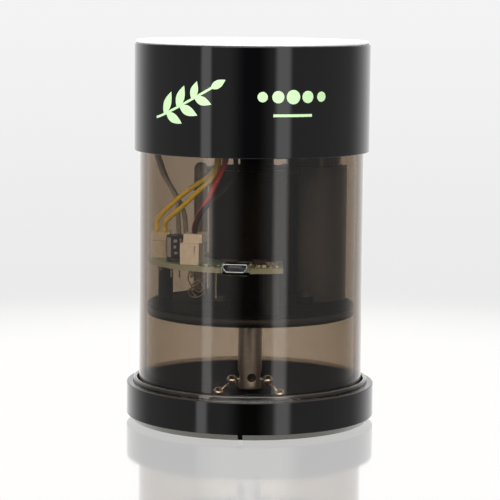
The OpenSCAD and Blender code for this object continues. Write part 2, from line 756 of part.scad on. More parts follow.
base_cup();
base_gasket();
housing_tube();
bulkhead();
bulkhead_seal();
shaft_seal();
shaft_bush();
motor_sleeve();
sleeve_screws();
motor_can();
motor_magnets();
motor_end_bell();
motor_terminals();
motor_screws();
motor_shaft();
motor_armature();
motor_windings();
battery_cradle();
battery_cell();
battery_tabs();
wire_post();
board_posts();
board_screws();
circuit_board();
usb_shell();
usb_tongue();
motor_header();
motor_plug();
switch_header();
switch_plug();
capacitor();
board_chips();
charge_led();
solder_pins();
switch_pedestal();
switch_body();
switch_terminals();
switch_plunger();
spring_deck();
deck_screws();
return_springs();
cap_plate();
cap_band();
cap_disc();
yellow_wires();
red_wire();
black_wire();
grey_wires();
spindle();
shaft_screw();
chain_screw();
chain_core();
left_link_1();
left_link_2();
left_link_3();
left_tail();
right_link_1();
right_link_2();
right_link_3();
right_tail();
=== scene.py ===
import math
import random

import bmesh
import bpy
from mathutils import Matrix, Vector


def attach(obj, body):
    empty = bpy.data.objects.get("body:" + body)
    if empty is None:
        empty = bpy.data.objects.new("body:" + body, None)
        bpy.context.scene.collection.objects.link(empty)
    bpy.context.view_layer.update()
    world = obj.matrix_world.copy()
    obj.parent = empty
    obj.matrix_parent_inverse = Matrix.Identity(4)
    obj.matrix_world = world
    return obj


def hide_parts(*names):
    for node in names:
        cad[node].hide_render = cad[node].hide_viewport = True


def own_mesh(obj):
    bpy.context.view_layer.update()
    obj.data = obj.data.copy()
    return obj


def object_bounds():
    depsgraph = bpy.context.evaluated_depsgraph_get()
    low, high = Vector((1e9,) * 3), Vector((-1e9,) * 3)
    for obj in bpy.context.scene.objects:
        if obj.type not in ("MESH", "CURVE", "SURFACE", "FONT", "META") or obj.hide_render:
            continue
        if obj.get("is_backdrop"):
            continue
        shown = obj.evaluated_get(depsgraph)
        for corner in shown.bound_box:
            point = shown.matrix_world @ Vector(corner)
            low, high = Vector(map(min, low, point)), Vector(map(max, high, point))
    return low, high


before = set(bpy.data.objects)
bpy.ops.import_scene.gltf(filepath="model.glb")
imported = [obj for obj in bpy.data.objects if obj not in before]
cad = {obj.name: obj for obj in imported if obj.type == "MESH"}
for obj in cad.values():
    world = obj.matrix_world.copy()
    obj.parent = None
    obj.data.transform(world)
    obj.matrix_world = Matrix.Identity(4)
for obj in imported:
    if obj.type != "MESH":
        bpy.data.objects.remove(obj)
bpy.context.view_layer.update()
random.seed(7)

# Looks of a cordless ball-chain grinder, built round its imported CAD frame.
# +Z up, the front with the charging socket towards -Y. Pieces are drawn in millimetres.
MM = 0.001


# ---------------------------------------------------------------- meshes

def finish_mesh(obj, sharp=32):
    """Smooth shading with sharp edges above an angle in degrees."""
    mesh = obj.data
    mesh.polygons.foreach_set("use_smooth", [True] * len(mesh.polygons))
    mesh.set_sharp_from_angle(angle=math.radians(sharp))
    mesh.update()
    return obj


def new_object(name, verts, faces, sharp=32):
    """Mesh object from points in millimetres and faces, welded, with normals outwards."""
    mesh = bpy.data.meshes.new(name)
    mesh.from_pydata([tuple(Vector(v) * MM) for v in verts], [], faces)
    obj = bpy.data.objects.new(name, mesh)
    bpy.context.scene.collection.objects.link(obj)
    bm = bmesh.new()
    bm.from_mesh(mesh)
    bmesh.ops.remove_doubles(bm, verts=bm.verts, dist=1e-7)
    bmesh.ops.dissolve_degenerate(bm, edges=bm.edges, dist=1e-8)
    bmesh.ops.recalc_face_normals(bm, faces=bm.faces)
    bm.to_mesh(mesh)
    bm.free()
    return finish_mesh(obj, sharp)


def fillet(points, steps=6):
    """Closed outline with rounded corners. Each point is (x, y, corner radius)."""
    out = []
    for i, (x, y, radius) in enumerate(points):
        corner = Vector((x, y))
        if radius == 0:
            out.append(corner)
            continue
        u = (Vector(points[i - 1][:2]) - corner).normalized()
        v = (Vector(points[(i + 1) % len(points)][:2]) - corner).normalized()
        half = u.angle(v) / 2
        centre = corner + (u + v).normalized() * radius / math.sin(half)
        start = corner + u * radius / math.tan(half) - centre
        end = corner + v * radius / math.tan(half) - centre
        for k in range(steps + 1):
            out.append(centre + start.lerp(end, k / steps).normalized() * radius)
    return out


def lathe(name, points, steps=144, at=(0, 0)):
    """Solid of revolution about a vertical axis. Points are (radius, height, corner radius)."""
    outline = fillet(points)
    n = len(outline)
    verts, faces = [], []
    for s in range(steps):
        a = 2 * math.pi * s / steps
        verts += [(at[0] + p.x * math.cos(a), at[1] + p.x * math.sin(a), p.y) for p in outline]
        for i in range(n):
            j, t = (i + 1) % n, (s + 1) % steps
            faces.append((s * n + i, t * n + i, t * n + j, s * n + j))
    return new_object(name, verts, faces)


def prism(name, outline, low, high):
    """Flat outline (x, y) pulled up from low to high."""
    n = len(outline)
    verts = [(p[0], p[1], z) for z in (low, high) for p in outline]
    faces = [tuple(range(n))[::-1], tuple(range(n, 2 * n))]
    faces += [(i, (i + 1) % n, n + (i + 1) % n, n + i) for i in range(n)]
    return new_object(name, verts, faces)


def apply_modifiers(obj):
    """Bakes an object's modifiers into its mesh."""
    graph = bpy.context.evaluated_depsgraph_get()
    mesh = bpy.data.meshes.new_from_object(obj.evaluated_get(graph))
    obj.modifiers.clear()
    obj.data = mesh
    return obj


def add_bevel(obj, width):
    """Rounds an object's hard edges."""
    mod = obj.modifiers.new("bevel", "BEVEL")
    mod.width = width * MM
    mod.segments = 2
    mod.limit_method = "ANGLE"
    mod.angle_limit = math.radians(40)
    apply_modifiers(obj)
    return finish_mesh(obj)


def cut(obj, *cutters, operation="DIFFERENCE"):
    """Takes the cutters out of an object, or keeps what they share, and deletes them."""
    for cutter in cutters:
        mod = obj.modifiers.new("cut", "BOOLEAN")
        mod.operation = operation
        mod.solver = "EXACT"
        mod.object = cutter
        apply_modifiers(obj)
        bpy.data.objects.remove(cutter)
    return finish_mesh(obj)


def box(name, size, centre, bevel=0.0):
    """Block with edges that can be rounded."""
    w, d, h = (s / 2 for s in size)
    corners = [(-w, -d), (w, -d), (w, d), (-w, d)]
    verts = [Vector((x, y, z)) + Vector(centre) for z in (-h, h) for x, y in corners]
    faces = [(3, 2, 1, 0), (4, 5, 6, 7), (0, 1, 5, 4), (1, 2, 6, 5), (2, 3, 7, 6), (3, 0, 4, 7)]
    obj = new_object(name, verts, faces)
    if bevel:
        add_bevel(obj, bevel)
    return obj


def ball(name, radius, centre, seam=False):
    """Sphere from a subdivided icosphere, with an optional pressed seam round its middle."""
    bm = bmesh.new()
    bmesh.ops.create_icosphere(bm, subdivisions=4, radius=radius * MM)
    for v in bm.verts:
        if seam:
            v.co *= 1 - 0.03 * math.exp(-((v.co.z / (0.06 * radius * MM)) ** 2))
    mesh = bpy.data.meshes.new(name)
    bm.to_mesh(mesh)
    bm.free()
    mesh.transform(Matrix.Translation(Vector(centre) * MM))
    obj = bpy.data.objects.new(name, mesh)
    bpy.context.scene.collection.objects.link(obj)
    return finish_mesh(obj, 60)


def spline(points, steps):
    """Smooth curve through points, the same rule as the CAD leads follow."""
    p = [Vector(q) for q in points]
    out = []
    for i in range(len(p) - 1):
        a, b, c, d = p[max(i - 1, 0)], p[i], p[i + 1], p[min(i + 2, len(p) - 1)]
        for k in range(steps):
            t = k / steps
            out.append(0.5 * (2 * b + (c - a) * t + (2 * a - 5 * b + 4 * c - d) * t * t
                              + (3 * b - a - 3 * c + d) * t ** 3))
    return out + [p[-1]]


def sweep(name, path, radius, sides=14):
    """Round tube along a path, without twist. Radius is a number or one value for each point."""
    radii = radius if isinstance(radius, list) else [radius] * len(path)
    side = None
    verts, faces = [], []
    for i, p in enumerate(path):
        ahead = (path[min(i + 1, len(path) - 1)] - path[max(i - 1, 0)]).normalized()
        if side is None:
            side = ahead.orthogonal().normalized()
        side = (side - ahead * side.dot(ahead)).normalized()
        up = ahead.cross(side)
        for k in range(sides):
            a = 2 * math.pi * k / sides
            verts.append(p + radii[i] * (math.cos(a) * side + math.sin(a) * up))
    for i in range(len(path) - 1):
        for k in range(sides):
            j = (k + 1) % sides
            faces.append((i * sides + k, i * sides + j, (i + 1) * sides + j, (i + 1) * sides + k))
    last = (len(path) - 1) * sides
    faces += [tuple(range(sides))[::-1], tuple(range(last, last + sides))]
    return new_object(name, verts, faces, 50)


def join(name, parts):
    """One object from several."""
    bm = bmesh.new()
    materials = []
    for part in parts:
        slots = [m for m in part.data.materials]
        offset = len(bm.faces)
        bm.from_mesh(part.data)
        bm.faces.ensure_lookup_table()
        for f in bm.faces[offset:]:
            mat = slots[f.material_index] if slots else None
            if mat is not None and mat not in materials:
                materials.append(mat)
            f.material_index = materials.index(mat) if mat is not None else 0
    mesh = bpy.data.meshes.new(name)
    bm.to_mesh(mesh)
    bm.free()
    for mat in materials:
        mesh.materials.append(mat)
    for part in parts:
        bpy.data.objects.remove(part)
    obj = bpy.data.objects.new(name, mesh)
    bpy.context.scene.collection.objects.link(obj)
    return finish_mesh(obj, 35)


def place(obj, body, material, slot, *nodes):
    """Evens a piece's shading, sets its material and body, and hides its CAD nodes. The slot is not used."""
    mod = obj.modifiers.new("flat", "WEIGHTED_NORMAL")
    mod.keep_sharp = True
    apply_modifiers(obj)
    if material is not None:
        obj.data.materials.clear()
        obj.data.materials.append(material)
    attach(obj, body)
    if nodes:
        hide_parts(*nodes)
    return obj


# ------------------------------------------------------------- materials

def new_tree(name):
    """Material with an empty Principled set-up: returns (material, tree, principled, output)."""
    mat = bpy.data.materials.new(name)
    mat.use_nodes = True
    tree = mat.node_tree
    return mat, tree, tree.nodes["Principled BSDF"], tree.nodes["Material Output"]


def add(tree, kind, inputs=None, **settings):
    """Shader node with settings and inputs. An input is a value, or a socket to link from."""
    node = tree.nodes.new(kind)
    for key, value in settings.items():
        setattr(node, key, value)
    for key, value in (inputs or {}).items():
        if isinstance(value, bpy.types.NodeSocket):
            tree.links.new(value, node.inputs[key])
        else:
            node.inputs[key].default_value = value
    return node


def calc(tree, operation, a, b=0.0, c=0.0):
    """Result of a maths node."""
    return add(tree, "ShaderNodeMath", {0: a, 1: b, 2: c}, operation=operation).outputs[0]


def noise(tree, scale, detail=4.0, stretch=(1, 1, 1)):
    """Noise value over the object's own space, scale in features per metre."""
    at = add(tree, "ShaderNodeTexCoord").outputs["Object"]
    if stretch != (1, 1, 1):
        at = add(tree, "ShaderNodeMapping", {"Vector": at, "Scale": stretch}).outputs["Vector"]
    made = add(tree, "ShaderNodeTexNoise", {"Vector": at, "Scale": scale, "Detail": detail, "Roughness": 0.6})
    return made.outputs["Fac"]


def ranged(tree, value, low, high, start=0.3, end=0.7):
    """Value from start..end spread over low..high."""
    made = add(tree, "ShaderNodeMapRange", {"Value": value, "From Min": start, "From Max": end,
                                            "To Min": low, "To Max": high})
    return made.outputs["Result"]


def shade(tree, value, dark, light):
    """Colour between dark and light."""
    made = add(tree, "ShaderNodeMix", data_type="RGBA")
    tree.links.new(value, made.inputs["Factor"])
    made.inputs["A"].default_value = dark
    made.inputs["B"].default_value = light
    return made.outputs["Result"]


def rgba(r, g, b):
    """Opaque colour."""
    return (r, g, b, 1.0)


# Share by which gloss wanders over a surface, and the height of its fine grain
WEAR = 0.12
GRAIN_HEIGHT = 0.05 * MM


def surface(name, colour, rough, metal=0.0, vary=0.12, scale=400, grain=1500, bump=0.05, coat=0.0,
            stretch=(1, 1, 1), subsurface=0.0, specular=0.5):
    """Plastic, rubber or metal with mottled colour, uneven gloss and a fine grain."""
    mat, tree, bsdf, _ = new_tree(name)
    mottle = noise(tree, scale, 5, stretch)
    dark = rgba(*(c * (1 - vary) for c in colour))
    light = rgba(*(min(1, c * (1 + vary) + 0.002) for c in colour))
    tree.links.new(shade(tree, ranged(tree, mottle, 0, 1), dark, light), bsdf.inputs["Base Color"])
    smear = noise(tree, scale * 0.35, 6, stretch)
    gloss = ranged(tree, smear, max(0.01, rough * (1 - WEAR)), min(1, rough * (1 + WEAR) + 0.01))
    tree.links.new(gloss, bsdf.inputs["Roughness"])
    fine = noise(tree, grain, 3, stretch)
    made = add(tree, "ShaderNodeBump", {"Height": fine, "Strength": bump, "Distance": GRAIN_HEIGHT})
    tree.links.new(made.outputs["Normal"], bsdf.inputs["Normal"])
    bsdf.inputs["Metallic"].default_value = metal
    bsdf.inputs["Coat Weight"].default_value = coat
    bsdf.inputs["Coat Roughness"].default_value = 0.06
    bsdf.inputs["Specular IOR Level"].default_value = specular
    bsdf.inputs["Subsurface Weight"].default_value = subsurface
    bsdf.inputs["Subsurface Radius"].default_value = (1.0 * MM, 0.8 * MM, 0.6 * MM)
    return mat


def clear_plastic(name, tint, rough=0.03, bump=0.02, reflect=0.04, rim=0.0, outer=None):
    """
    See-through plastic: a tint on every wall crossed, deeper where the wall is met at a slant, and
    a reflection that grows towards the edges. Outside the radius outer, in metres, a ray that would
    run along inside the wall is deeper still.
    """
    mat, tree, bsdf, out = new_tree(name)
    tree.nodes.remove(bsdf)
    facing = add(tree, "ShaderNodeLayerWeight", {"Blend": 0.5}).outputs["Facing"]
    steep = calc(tree, "SUBTRACT", 1.0, facing)
    bent = calc(tree, "DIVIDE", calc(tree, "SUBTRACT", 1.0, calc(tree, "MULTIPLY", steep, steep)), 2.25)
    depth = calc(tree, "DIVIDE", 1.0, calc(tree, "SQRT", calc(tree, "SUBTRACT", 1.0, bent)))
    if rim:
        depth = calc(tree, "MULTIPLY_ADD", calc(tree, "POWER", facing, 4.0), rim, depth)
    factor = calc(tree, "MULTIPLY_ADD", calc(tree, "POWER", facing, 5.0), 0.96, reflect)
    if outer:
        at = add(tree, "ShaderNodeTexCoord").outputs["Object"]
        flat = add(tree, "ShaderNodeVectorMath", {0: at, 1: (1.0, 1.0, 0.0)}, operation="MULTIPLY")
        away = add(tree, "ShaderNodeVectorMath", {0: flat.outputs["Vector"]},
                   operation="LENGTH").outputs["Value"]
        graze = add(tree, "ShaderNodeMapRange", {"Value": steep, "From Min": 0.38, "From Max": 0.33},
                    interpolation_type="SMOOTHSTEP").outputs["Result"]
        outside = calc(tree, "GREATER_THAN", away, outer)
        along = calc(tree, "MULTIPLY", outside, graze)
        factor = calc(tree, "MULTIPLY", factor, calc(tree, "MULTIPLY_ADD", outside, 0.6, 0.4))
        depth = calc(tree, "MULTIPLY_ADD", along, calc(tree, "SUBTRACT", 3.0, depth), depth)
    cloud = noise(tree, 35, 4)
    dark = rgba(*(c * 0.985 for c in tint))
    light = rgba(*(min(1, c * 1.015) for c in tint))
    deep = add(tree, "ShaderNodeGamma", {"Color": shade(tree, ranged(tree, cloud, 0, 1), dark, light),
                                         "Gamma": depth}).outputs["Color"]
    through = add(tree, "ShaderNodeBsdfTransparent", {"Color": deep})
    ripple = noise(tree, 60, 3, (1, 1, 0.35))
    normal = add(tree, "ShaderNodeBump", {"Height": ripple, "Strength": bump, "Distance": 0.4 * MM})
    smear = noise(tree, 160, 6)
    gloss = add(tree, "ShaderNodeBsdfGlossy", {"Color": rgba(1, 1, 1), "Normal": normal.outputs["Normal"],
                                               "Roughness": ranged(tree, smear, rough * 0.6, rough * 1.8)})
    mix = add(tree, "ShaderNodeMixShader", {"Fac": factor, 1: through.outputs[0], 2: gloss.outputs[0]})
    tree.links.new(mix.outputs[0], out.inputs["Surface"])
    return mat


def gloss_black(name, colour, rough, dusty):
    """Glossy moulded black with fine dust, hairline scuffs and a trace of sink waviness."""
    mat, tree, bsdf, _ = new_tree(name)
    specks = noise(tree, 2600, 2)
    dust = ranged(tree, specks, 0, 1, 0.72, 0.84)
    base = shade(tree, dust, rgba(*colour), rgba(dusty, dusty * 0.97, dusty * 0.92))
    tree.links.new(base, bsdf.inputs["Base Color"])
    smear = noise(tree, 90, 7)
    tree.links.new(ranged(tree, smear, rough * 0.6, rough * 1.9), bsdf.inputs["Roughness"])
    wave = noise(tree, 28, 2)
    hair = noise(tree, 900, 2, (1, 1, 0.06))
    both = add(tree, "ShaderNodeMath", {0: hair, 1: 0.03, 2: wave}, operation="MULTIPLY_ADD").outputs[0]
    normal = add(tree, "ShaderNodeBump", {"Height": both, "Strength": 0.03, "Distance": 0.5 * MM})
    tree.links.new(normal.outputs["Normal"], bsdf.inputs["Normal"])
    return mat


LOOKS = {
    "cup_black": gloss_black("cup_black", (0.0003, 0.0003, 0.0002), 0.07, dusty=0.006),
    "cup_edge": surface("cup_edge", (0.085, 0.08, 0.062), 0.3, scale=700, bump=0.1),
    "lip_smoky": clear_plastic("lip_smoky", (0.74, 0.7, 0.66), 0.06, 0.03, 0.06),
    "seal_rubber": surface("seal_rubber", (0.02, 0.02, 0.02), 0.55, scale=900, bump=0.2),
    "smoky_clear": clear_plastic("smoky_clear", (0.72, 0.67, 0.61), outer=33.3 * MM),
    "frame_black": surface("frame_black", (0.004, 0.003, 0.003), 0.3, scale=500, grain=2500, bump=0.12,
                           specular=0.12),
    "roof_black": surface("roof_black", (0.006, 0.005, 0.004), 0.6, scale=500, grain=2500, specular=0.03),
    "cradle_black": surface("cradle_black", (0.045, 0.046, 0.05), 0.42, scale=500, grain=3500, bump=0.04),
    "post_grey": surface("post_grey", (0.012, 0.012, 0.013), 0.4, scale=500, grain=2500, bump=0.12,
                         specular=0.2),
    "board_edge": surface("board_edge", (0.42, 0.48, 0.4), 0.5, scale=2500, grain=6000, bump=0.2),
    "print_grey": surface("print_grey", (0.4, 0.45, 0.52), 0.35, scale=900),
    "tinned": surface("tinned", (0.24, 0.2, 0.15), 0.35, 0.7, scale=1500),
    "bush_bronze": surface("bush_bronze", (0.55, 0.38, 0.2), 0.35, 1.0, scale=1200),
    "screw_steel": surface("screw_steel", (0.62, 0.61, 0.58), 0.26, 1.0, scale=1500, grain=4000),
    "motor_steel": surface("motor_steel", (0.5, 0.49, 0.47), 0.3, 1.0, stretch=(1, 1, 0.1), grain=2500),
    "magnet_dark": surface("magnet_dark", (0.05, 0.05, 0.055), 0.45, scale=1500),
    "contact_brass": surface("contact_brass", (0.78, 0.6, 0.3), 0.28, 1.0, scale=1500),
    "winding_copper": surface("winding_copper", (0.72, 0.33, 0.14), 0.3, 1.0, scale=2500, grain=6000,
                              bump=0.3),
    "cell_wrap": surface("cell_wrap", (0.02, 0.023, 0.04), 0.22, scale=200, coat=0.3, bump=0.05),
    "tab_nickel": surface("tab_nickel", (0.66, 0.63, 0.57), 0.25, 1.0, scale=1200),
    "post_clear": clear_plastic("post_clear", (0.48, 0.45, 0.42), 0.06, 0.1, 0.06, rim=12.0),
    "board_green": surface("board_green", (0.24, 0.4, 0.28), 0.32, scale=1500, grain=5000, coat=0.3),
    "socket_chrome": surface("socket_chrome", (0.62, 0.61, 0.59), 0.2, 1.0, scale=2500, grain=6000),
    "plug_white": surface("plug_white", (0.93, 0.91, 0.86), 0.36, scale=900, subsurface=0.15),
    "plug_cream": surface("plug_cream", (0.84, 0.8, 0.68), 0.4, scale=900, subsurface=0.15),
    "capacitor_sleeve": surface("capacitor_sleeve", (0.018, 0.022, 0.04), 0.25, scale=900, coat=0.4),
    "chip_black": surface("chip_black", (0.03, 0.03, 0.03), 0.45, scale=3000, grain=8000, bump=0.2),
    "lamp_clear": surface("lamp_clear", (0.85, 0.8, 0.55), 0.2, scale=2500, subsurface=0.3),
    "plunger_red": surface("plunger_red", (0.55, 0.05, 0.03), 0.35, scale=900),
    "band_black": gloss_black("band_black", (0.0012, 0.0012, 0.0015), 0.035, dusty=0.014),
    "disc_white": surface("disc_white", (0.7, 0.7, 0.71), 0.4, scale=150, vary=0.02, grain=2500, bump=0.06,
                          subsurface=0.1),
    "wire_yellow": surface("wire_yellow", (0.97, 0.7, 0.05), 0.34, scale=700, vary=0.1, bump=0.1),
    "wire_red": surface("wire_red", (0.62, 0.02, 0.02), 0.34, scale=700, vary=0.1, bump=0.1),
    "wire_black": surface("wire_black", (0.015, 0.015, 0.015), 0.36, scale=700, bump=0.1, specular=0.2),
    "wire_grey": surface("wire_grey", (0.4, 0.39, 0.38), 0.4, scale=700, bump=0.1),
    "spindle_metal": surface("spindle_metal", (0.6, 0.6, 0.64), 0.42, 1.0, stretch=(1, 1, 8), scale=300,
                             grain=900),
    "grub_dark": surface("grub_dark", (0.12, 0.12, 0.12), 0.35, 1.0, scale=1500),
    "chain_chrome": surface("chain_chrome", (0.85, 0.8, 0.74), 0.13, 1.0, scale=900, vary=0.12, grain=2500),
}

# ---------------------------------------------------------------- shapes

def circle(radius, at=(0, 0), steps=64):
    """Points round a circle."""
    return [(at[0] + radius * math.cos(2 * math.pi * k / steps),
             at[1] + radius * math.sin(2 * math.pi * k / steps)) for k in range(steps)]


def drill(radius, start, direction, length, steps=48):
    """Round cutter from a start point along a direction."""
    obj = prism("drill", circle(radius, steps=steps), 0, length)
    turn = Vector((0, 0, 1)).rotation_difference(Vector(direction)).to_matrix().to_4x4()
    obj.data.transform(Matrix.Translation(Vector(start) * MM) @ turn)
    return obj


def move(obj, turn=0.0, by=(0, 0, 0)):
    """Turns a mesh about Z, in radians, then moves it by millimetres."""
    obj.data.transform(Matrix.Translation(Vector(by) * MM) @ Matrix.Rotation(turn, 4, "Z"))
    return obj


def upright(obj):
    """Turns an outline drawn as (across, up) so that its extrusion runs towards +Y."""
    obj.data.transform(Matrix(((1, 0, 0, 0), (0, 0, 1, 0), (0, 1, 0, 0), (0, 0, 0, 1))))
    obj.data.flip_normals()
    return obj


def polar(radius, degrees):
    """Plan position at a radius and an angle from +X."""
    return radius * math.cos(math.radians(degrees)), radius * math.sin(math.radians(degrees))


LOOK = LOOKS.__getitem__

# Heights and places that several pieces share
BULKHEAD_TOP = 36.1
BOARD_LOW, BOARD_TOP = 48.9, 50.5
SOCKET_TURN = 8
SOCKET_OUT, SOCKET_Z = 34.0, 50.7
CHAIN_Z, PITCH, BALL_R = 12.8, 5.75, 1.75
BAND_R = 36.1
SPRING_ANGLES = (30, 150, 270)
SPRING_FOOT = 107
BOARD_POSTS = ((6, -25.5), (-26.5, 6))
CAPACITOR = (-22.8, -14.8)

# ------------------------------------------------------------ the cup

cup = lathe("cup", [(0, 0.8, 0), (33, 0.8, 0.2), (33, 0, 0.15), (36.3, 0, 0.12), (38.2, 1.9, 0.12),
                    (38.2, 11.6, 0.35), (36.2, 11.6, 0.1), (36.2, 9, 0.1), (34.8, 9, 0.12), (34.8, 2.4, 0.5),
                    (0, 2.4, 0)], steps=256)
cut(cup, move(box("notch", (1.4, 3.2, 3.2), (0, -37.6, 0.6)), math.radians(-4.2)))
place(cup, "base", LOOK("cup_black"), "cup_black", "base_cup")
cup.data.materials.append(LOOK("cup_edge"))
for poly in cup.data.polygons:
    spot = poly.center / MM
    if poly.normal.z < -0.5 and poly.normal.z > -0.9 and math.hypot(spot.x, spot.y) > 36.4 and spot.z < 1.85:
        poly.material_index = 1

lip = lathe("lip", [(34.95, 9, 0), (36.1, 9, 0), (36.1, 13.1, 0.5), (34.95, 13.1, 0.5)], steps=256)
place(lip, "base", LOOK("lip_smoky"), "lip_smoky", "base_gasket")

# ------------------------------------------------------ the clear tube

tube = lathe("tube", [(32.2, 2.7, 0.3), (34.4, 2.7, 0.4), (34.4, 105, 0.4), (32.2, 105, 0.3)], steps=288)
slot_outline = fillet([(-4.3, -2.1, 0.8), (4.3, -2.1, 0.8), (4.3, 2.1, 0.8), (-4.3, 2.1, 0.8)])
slot_cutter = upright(prism("slot", slot_outline, -37, -30))
move(slot_cutter, math.radians(-SOCKET_TURN), (0, 0, SOCKET_Z))
holes = [drill(2.2, (*polar(29.2, a), 103), (*polar(1, a), 0), 10) for a in SPRING_ANGLES]
cut(tube, slot_cutter, *holes)
place(tube, "housing", LOOK("smoky_clear"), "smoky_clear", "housing_tube")

# ---------------------------------------------------- floor of the works

roof = lathe("roof", [(6, 34, 0), (8, 34, 0.1), (8, 32.8, 0.1), (31.9, 32.8, 0.2), (31.9, 33.5, 0.1),
                      (30.3, 33.5, 0), (30.3, 35.4, 0), (31.9, 35.4, 0.1), (31.9, BULKHEAD_TOP, 0.2),
                      (6, BULKHEAD_TOP, 0)],
             steps=192)
place(roof, "housing", LOOK("roof_black"), "frame_black", "bulkhead")

ring_seal = lathe("ring_seal", [(30.35, 33.55, 0.85), (32.15, 33.55, 0.85), (32.15, 35.35, 0.85),
                                (30.35, 35.35, 0.85)], steps=192)
place(ring_seal, "housing", LOOK("seal_rubber"), "seal_rubber", "bulkhead_seal")

# --------------------------------------------------------- motor sleeve

sleeve_parts = [
    lathe("sleeve", [(12.3, BULKHEAD_TOP, 0), (13.1, BULKHEAD_TOP, 0.1), (13.1, 76.2, 0.2), (14.4, 76.2, 0.2),
                     (14.4, 77.7, 0.25), (12.3, 77.7, 0.2)], steps=128),
    lathe("web", [(3.6, 40.8, 0.1), (12.5, 40.8, 0), (12.5, 42.8, 0), (3.6, 42.8, 0.1)], steps=64)]
cut(sleeve_parts[0], drill(8.8, (19.4, 10.3, 75.2), (0, 0, 1), 4, 96))
cut(sleeve_parts[1], drill(1.35, (8, 0, 40), (0, 0, 1), 4), drill(1.35, (-8, 0, 40), (0, 0, 1), 4))
for angle in (117, 237, 350):
    lug = lathe("lug", [(1.35, BULKHEAD_TOP, 0), (2.8, BULKHEAD_TOP, 0), (2.8, 38.5, 0.3), (1.35, 38.5, 0.2)],
                steps=48, at=polar(17, angle))
    neck = box("neck", (2.4, 3.8, 2.4), (14.0, 0, 37.3), bevel=0.15)
    sleeve_parts += [lug, move(neck, math.radians(angle))]
sleeve = join("sleeve", sleeve_parts)
place(sleeve, "housing", LOOK("frame_black"), "frame_black", "motor_sleeve")

# ------------------------------------------------------------- battery

CELL = (19.4, 10.3)
cell = lathe("cell", [(0, 37.2, 0), (8.6, 37.2, 0.4), (8.6, 96, 0.3), (8.05, 96.5, 0.3), (8.05, 97.1, 0.3),
                      (8.6, 97.6, 0.3), (8.6, 100.2, 0.6), (0, 100.2, 0)], steps=96, at=CELL)
place(cell, "housing", LOOK("cell_wrap"), "cell_wrap", "battery_cell")

wall = []
for point in circle(10.4, CELL, 128):
    reach = math.hypot(*point)
    wall.append(point if reach < 31.9 else (point[0] * 31.9 / reach, point[1] * 31.9 / reach))
cradle = prism("cradle", wall, BULKHEAD_TOP, 77.8)
tab_room = move(box("tab_room", (1.4, 5.6, 60), (8.7, 0, 67.1)), math.radians(142), (*CELL, 0))
cut(cradle, drill(8.95, (*CELL, 37.1), (0, 0, 1), 60, 128), drill(14.6, (0, 0, 30), (0, 0, 1), 60, 128),
    tab_room, drill(3.2, (*polar(17, 350), 35.1), (0, 0, 1), 5))
add_bevel(cradle, 0.12)
place(cradle, "housing", LOOK("cradle_black"), "cradle_black", "battery_cradle")

# --------------------------------------------------------------- posts

post = lathe("wire_post", [(0, BULKHEAD_TOP, 0), (2.2, BULKHEAD_TOP, 0.2), (2.2, 77.7, 2.1), (0, 77.7, 0)],
             steps=48, at=(-16, 20))
place(post, "housing", LOOK("post_clear"), "post_clear", "wire_post")

PEG = [(1.05, 43.9, 0), (1.05, BOARD_LOW, 0.1), (2.3, BOARD_LOW, 0.2), (2.3, BULKHEAD_TOP, 0.1),
       (0, BULKHEAD_TOP, 0), (0, 43.9, 0)]
pegs = [lathe("peg", PEG, steps=40, at=at) for at in BOARD_POSTS]
place(join("pegs", pegs), "housing", LOOK("post_grey"), "post_grey", "board_posts")

# ------------------------------------------------------- circuit board

board = prism("board", circle(31.8, steps=256), BOARD_LOW, BOARD_TOP)
sector = [(-33, 11), (-33, -33), (9.6, -33), (9.6, -12), (-9, 2), (-15, 11)]
cut(board, prism("sector", sector, 45, 55), operation="INTERSECT")
notch = move(box("notch", (8.4, 11.8, 6), (0, -34.1, 49.7)), math.radians(-SOCKET_TURN))
cut(board, drill(14.8, (0, 0, 45), (0, 0, 1), 10, 96), notch,
    *[drill(1.15, (*at, 45), (0, 0, 1), 10) for at in BOARD_POSTS])
add_bevel(board, 0.08)
place(board, "housing", LOOK("board_green"), "board_green", "circuit_board")
board.data.materials.append(LOOK("board_edge"))
for poly in board.data.polygons:
    poly.material_index = 1 if abs(poly.normal.z) < 0.9 else 0


def socket_outline(grow):
    """Outline of the charging socket, wide above, grown outwards."""
    top, wide, narrow = 1 + grow, 3.4 + grow, 2.5 + grow * 0.5
    step, corner = 0.1 - grow * 0.4, 0.3 + grow * 0.5
    return fillet([(-wide, top, corner), (wide, top, corner), (wide, step, 0.3), (narrow, -top, 0.35),
                   (-narrow, -top, 0.35), (-wide, step, 0.3)], 5)


def socket_place(obj):
    """Turns a piece of the socket towards its slot and moves it there."""
    turn = math.radians(SOCKET_TURN)
    return move(obj, -turn, (-SOCKET_OUT * math.sin(turn), -SOCKET_OUT * math.cos(turn), SOCKET_Z))


shell = upright(prism("shell", socket_outline(0.25), 0, 5.6))
cut(shell, upright(prism("hollow", socket_outline(0), -1, 4.6)))
add_bevel(shell, 0.05)
place(socket_place(shell), "housing", LOOK("socket_chrome"), "socket_chrome", "usb_shell")
tongue_parts = [box("tongue", (4.0, 3.9, 0.6), (0, 2.55, 0.4), bevel=0.06),
                upright(prism("plug_floor", socket_outline(-0.06), 4.3, 4.7))]
tongue = socket_place(join("tongue", tongue_parts))
place(tongue, "housing", LOOK("chip_black"), "chip_black", "usb_tongue")
contacts = [box("contact", (0.35, 3.2, 0.05), (x, 2.5, 0.08)) for x in (-1.3, -0.65, 0, 0.65, 1.3)]
place(socket_place(join("socket_contacts", contacts)), "housing", LOOK("contact_brass"), "contact_brass")


# --------------------------------------------------------- connectors

def on_board(obj, at, turn=0.0):
    """Sets a piece on the board, turned in degrees."""
    return move(obj, math.radians(turn), (at[0], at[1], BOARD_TOP))


